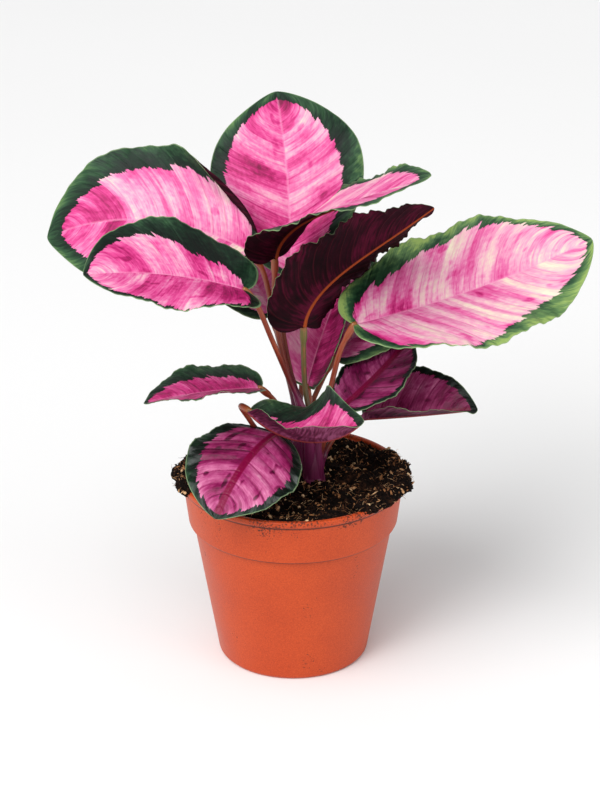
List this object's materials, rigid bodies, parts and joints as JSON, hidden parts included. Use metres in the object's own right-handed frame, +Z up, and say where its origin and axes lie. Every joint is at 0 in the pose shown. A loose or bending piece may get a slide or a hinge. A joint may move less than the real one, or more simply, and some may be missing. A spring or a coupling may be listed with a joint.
{
  "type": "potted sylvia calathea",
  "caption": "Potted rose-painted calathea: pink blades with green margins on thin stalks, rooted in peat in a terracotta-coloured nursery pot.",
  "frame": {"origin": "centre of the pot's underside, on the surface that the pot stands on", "axes": "+Z up along the pot's axis, -Y towards the viewer of the picture, +X to that viewer's right"},
  "size_m": [0.312, 0.2007, 0.3175],
  "materials": {
    "pot": "terracotta-coloured injection-moulded plastic, satin, dusted with peat",
    "soil": "dark damp peat with tan fibres and a few pale grains",
    "stalks": "orange-brown stems with purple sheaths, softly glossy",
    "blades": "pink and cream feathered centre, dark green margin, maroon underside, satin",
    "low_blades": "magenta to purple centre with raised relief, dark green margin, maroon underside, glossy"
  },
  "bodies": {
    "root": {"pot": "pot", "soil": "soil", "shoot_main": "stalks", "shoot_low": "stalks", "shoot_back": "stalks", "leaf_top": "blades", "leaf_arching": "blades", "leaf_turned": "blades", "leaf_left_near": "blades", "leaf_left_far": "blades", "leaf_right_large": "blades", "leaf_young": "blades", "leaf_low_left": "low_blades", "leaf_low_boat": "low_blades", "leaf_low_front": "low_blades", "leaf_low_right_back": "low_blades", "leaf_low_right": "low_blades", "leaf_back_left": "blades", "leaf_back_middle": "blades", "leaf_back_right": "blades"}
  },
  "joints": []
}
